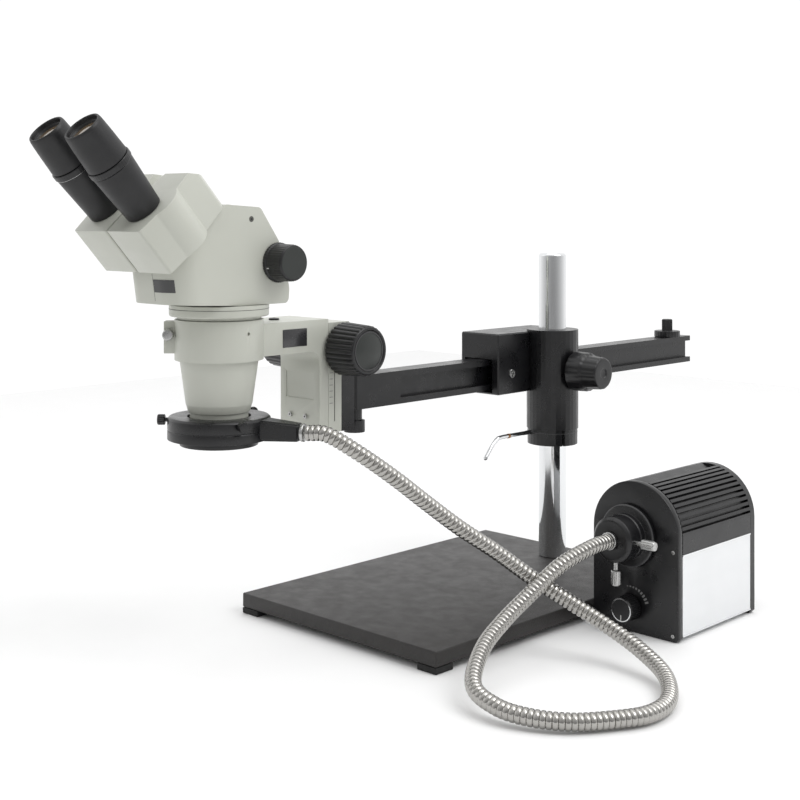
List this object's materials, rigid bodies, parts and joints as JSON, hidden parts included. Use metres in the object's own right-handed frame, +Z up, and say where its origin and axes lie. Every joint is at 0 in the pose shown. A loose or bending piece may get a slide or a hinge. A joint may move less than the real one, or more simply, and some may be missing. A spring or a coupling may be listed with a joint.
{
  "type": "stereo microscope",
  "caption": "Stereo zoom microscope on a sliding boom stand with a flat base, fibre ring light on a flexible metal guide, and a finned lamp box.",
  "frame": {"origin": "on the bench, at the middle of the footprint of everything except the light guide", "axes": "+Z up from the bench, +X to the user's right, -Y toward the user; the boom runs along Y"},
  "size_m": [0.4857, 0.9844, 0.5049],
  "materials": {
    "cream_paint": "satin",
    "black_paint": "satin",
    "base_paint": "matte",
    "black_plastic": "satin",
    "rubber": "matte",
    "chrome": "polished",
    "steel": "satin",
    "aluminium": "satin",
    "brass": "satin",
    "glass": "gloss"
  },
  "bodies": {
    "base": {"base_plate": "base_paint", "foot_front_left": "rubber", "foot_front_right": "rubber", "foot_rear_left": "rubber", "foot_rear_right": "rubber", "post": "chrome", "post_bolt": "steel", "lamp_front_plate": "black_paint", "lamp_rear_plate": "black_paint", "lamp_side_cover": "aluminium", "lamp_heat_sink": "black_paint", "lamp_port": "black_paint", "lamp_and_holder": "aluminium", "mains_inlet": "black_plastic", "guide_plug": "aluminium", "light_guide": "steel"},
    "dimmer_knob": {"dimmer_knob": "black_plastic"},
    "port_screw_side": {"port_screw_side": "steel"},
    "port_screw_lower": {"port_screw_lower": "steel"},
    "power_switch": {"power_switch": "black_plastic"},
    "fan_rotor": {"fan_rotor": "black_plastic"},
    "collar": {"stop_collar": "black_paint"},
    "clamp_lever": {"clamp_lever": "chrome"},
    "glide_block": {"glide_block": "black_paint"},
    "tension_knob": {"tension_knob": "black_plastic"},
    "boom_brake_screw": {"boom_brake_screw": "steel"},
    "roller_front": {"boom_roller_front": "steel"},
    "roller_rear": {"boom_roller_rear": "steel"},
    "boom": {"boom": "black_paint"},
    "end_stop_knob": {"end_stop_knob": "black_plastic"},
    "focus_mount": {"mount_bracket": "black_paint", "swivel_pin": "black_paint", "focus_slide_plate": "cream_paint"},
    "focus_drive": {"focus_pinion": "steel", "focus_knob_left": "black_plastic", "focus_knob_right": "black_plastic"},
    "focus_carriage": {"focus_carriage": "cream_paint", "focus_rack": "brass"},
    "head_clamp_screw": {"head_clamp_screw": "steel"},
    "head": {"head_shell": "cream_paint", "nose_barrel": "cream_paint", "objective_lens": "glass"},
    "zoom_drive": {"zoom_shaft": "steel", "zoom_knob_left": "black_plastic", "zoom_knob_right": "black_plastic"},
    "zoom_lens_carriage": {"zoom_lens_carriage": "aluminium"},
    "eye_right": {"prism_housing_right": "cream_paint", "prism_right": "glass", "eyepiece_right": "rubber"},
    "eye_left": {"prism_housing_left": "cream_paint", "prism_left": "glass", "eyepiece_left": "rubber"},
    "diopter_ring_right": {"diopter_ring_right": "black_plastic"},
    "diopter_ring_left": {"diopter_ring_left": "black_plastic"},
    "ring_light": {"ring_light_housing": "black_paint", "ring_light_bezel": "black_plastic", "guide_ferrule": "aluminium"},
    "ring_screw_front": {"ring_screw_front": "black_paint"},
    "ring_screw_right": {"ring_screw_right": "black_paint"},
    "ring_screw_rear": {"ring_screw_rear": "black_paint"}
  },
  "joints": [
    {"name": "dimmer_turn", "type": "hinge", "parent": "base", "child": "dimmer_knob", "pos_m": [0.13625, 0.03055, 0.025], "axis": [0, 1, 0], "range_deg": [0, 270]},
    {"name": "port_screw_side_turn", "type": "hinge", "parent": "base", "child": "port_screw_side", "pos_m": [0.13525, 0.00715, 0.097], "axis": [1, 0, 0], "range_deg": [-180, 180]},
    {"name": "port_screw_lower_turn", "type": "hinge", "parent": "base", "child": "port_screw_lower", "pos_m": [0.13525, 0.00715, 0.097], "axis": [0, 0, 1], "range_deg": [-180, 180]},
    {"name": "power_switch_rock", "type": "hinge", "parent": "base", "child": "power_switch", "pos_m": [0.17075, 0.17415, 0.03], "axis": [1, 0, 0], "range_deg": [-7, 7]},
    {"name": "fan_spin", "type": "hinge", "parent": "base", "child": "fan_rotor", "pos_m": [0.14125, 0.15415, 0.097], "axis": [0, 1, 0], "continuous": true},
    {"name": "collar_slide", "type": "slide", "parent": "base", "child": "collar", "axis": [0, 0, 1], "range_m": [-0.1, 0.08], "deforming": ["light_guide"]},
    {"name": "clamp_lever_turn", "type": "hinge", "parent": "collar", "child": "clamp_lever", "pos_m": [-0.06825, 0.13515, 0.1658], "axis": [0, 1, 0], "range_deg": [-60, 60]},
    {"name": "block_turn", "type": "hinge", "parent": "collar", "child": "glide_block", "pos_m": [-0.05425, 0.15215, 0.1705], "axis": [0, 0, 1], "range_deg": [-45, 45], "deforming": ["light_guide"]},
    {"name": "tension_knob_turn", "type": "hinge", "parent": "glide_block", "child": "tension_knob", "pos_m": [-0.02175, 0.15215, 0.2387], "axis": [1, 0, 0], "range_deg": [-180, 180]},
    {"name": "boom_brake_turn", "type": "hinge", "parent": "glide_block", "child": "boom_brake_screw", "pos_m": [-0.06625, 0.09215, 0.237], "axis": [1, 0, 0], "range_deg": [-90, 90]},
    {"name": "boom_slide", "type": "slide", "parent": "glide_block", "child": "boom", "axis": [0, 1, 0], "range_m": [-0.15, 0.15], "deforming": ["light_guide"]},
    {"name": "roller_front_roll", "type": "hinge", "parent": "glide_block", "child": "roller_front", "pos_m": [-0.09275, 0.09215, 0.2616], "axis": [1, 0, 0], "range_deg": [-1080, 1080]},
    {"name": "roller_rear_roll", "type": "hinge", "parent": "glide_block", "child": "roller_rear", "pos_m": [-0.09275, 0.17715, 0.2616], "axis": [1, 0, 0], "range_deg": [-1080, 1080]},
    {"name": "end_stop_turn", "type": "hinge", "parent": "boom", "child": "end_stop_knob", "pos_m": [-0.09275, 0.45515, 0.2536], "axis": [0, 0, 1], "range_deg": [-180, 180]},
    {"name": "mount_turn", "type": "hinge", "parent": "boom", "child": "focus_mount", "pos_m": [-0.09275, -0.13285, 0.2], "axis": [0, 0, 1], "range_deg": [-45, 45], "deforming": ["light_guide"]},
    {"name": "focus_slide", "type": "slide", "parent": "focus_mount", "child": "focus_carriage", "axis": [0, 0, 1], "range_m": [-0.025, 0.025], "deforming": ["light_guide"]},
    {"name": "focus_turn", "type": "hinge", "parent": "focus_mount", "child": "focus_drive", "pos_m": [-0.09275, -0.17885, 0.2855], "axis": [1, 0, 0], "range_deg": [-192, 192]},
    {"name": "head_clamp_turn", "type": "hinge", "parent": "focus_carriage", "child": "head_clamp_screw", "pos_m": [-0.12528, -0.34338, 0.307], "axis": [0.7071, -0.7071, 0], "range_deg": [-180, 180]},
    {"name": "head_turn", "type": "hinge", "parent": "focus_carriage", "child": "head", "pos_m": [-0.09275, -0.31085, 0.321], "axis": [0, 0, 1], "range_deg": [-30, 30], "deforming": ["light_guide"]},
    {"name": "zoom_turn", "type": "hinge", "parent": "head", "child": "zoom_drive", "pos_m": [-0.09275, -0.27285, 0.374], "axis": [1, 0, 0], "range_deg": [-120, 120]},
    {"name": "zoom_lens_slide", "type": "slide", "parent": "head", "child": "zoom_lens_carriage", "axis": [0, 0, 1], "range_m": [-0.008, 0.008]},
    {"name": "eye_right_swing", "type": "hinge", "parent": "head", "child": "eye_right", "pos_m": [-0.07275, -0.39775, 0.44], "axis": [0, -0.6691, 0.7431], "range_deg": [0, 18]},
    {"name": "eye_left_swing", "type": "hinge", "parent": "head", "child": "eye_left", "pos_m": [-0.11275, -0.39775, 0.44], "axis": [0, -0.6691, 0.7431], "range_deg": [-18, 0]},
    {"name": "diopter_right_turn", "type": "hinge", "parent": "eye_right", "child": "diopter_ring_right", "pos_m": [-0.06475, -0.41635, 0.4233], "axis": [0, -0.6691, 0.7431], "range_deg": [-120, 120]},
    {"name": "diopter_left_turn", "type": "hinge", "parent": "eye_left", "child": "diopter_ring_left", "pos_m": [-0.12075, -0.41635, 0.4233], "axis": [0, -0.6691, 0.7431], "range_deg": [-120, 120]},
    {"name": "ring_light_turn", "type": "hinge", "parent": "head", "child": "ring_light", "pos_m": [-0.09275, -0.31085, 0.2088], "axis": [0, 0, 1], "range_deg": [-30, 30], "deforming": ["light_guide"]},
    {"name": "ring_screw_front_turn", "type": "hinge", "parent": "ring_light", "child": "ring_screw_front", "pos_m": [-0.12881, -0.34691, 0.226], "axis": [-0.7071, -0.7071, 0], "range_deg": [-180, 180]},
    {"name": "ring_screw_right_turn", "type": "hinge", "parent": "ring_light", "child": "ring_screw_right", "pos_m": [-0.04349, -0.32405, 0.226], "axis": [0.9659, -0.2588, 0], "range_deg": [-180, 180]},
    {"name": "ring_screw_rear_turn", "type": "hinge", "parent": "ring_light", "child": "ring_screw_rear", "pos_m": [-0.10595, -0.26159, 0.226], "axis": [-0.2588, 0.9659, 0], "range_deg": [-180, 180]}
  ],
  "couplings": [
    {"joint": "roller_front_roll", "follows": "boom_slide", "rad_per_m": 125},
    {"joint": "roller_rear_roll", "follows": "boom_slide", "rad_per_m": 125},
    {"joint": "focus_turn", "follows": "focus_slide", "rad_per_m": -133.33},
    {"joint": "zoom_lens_slide", "follows": "zoom_turn", "m_per_rad": 0.0038},
    {"joint": "eye_left_swing", "follows": "eye_right_swing", "ratio": -1}
  ]
}
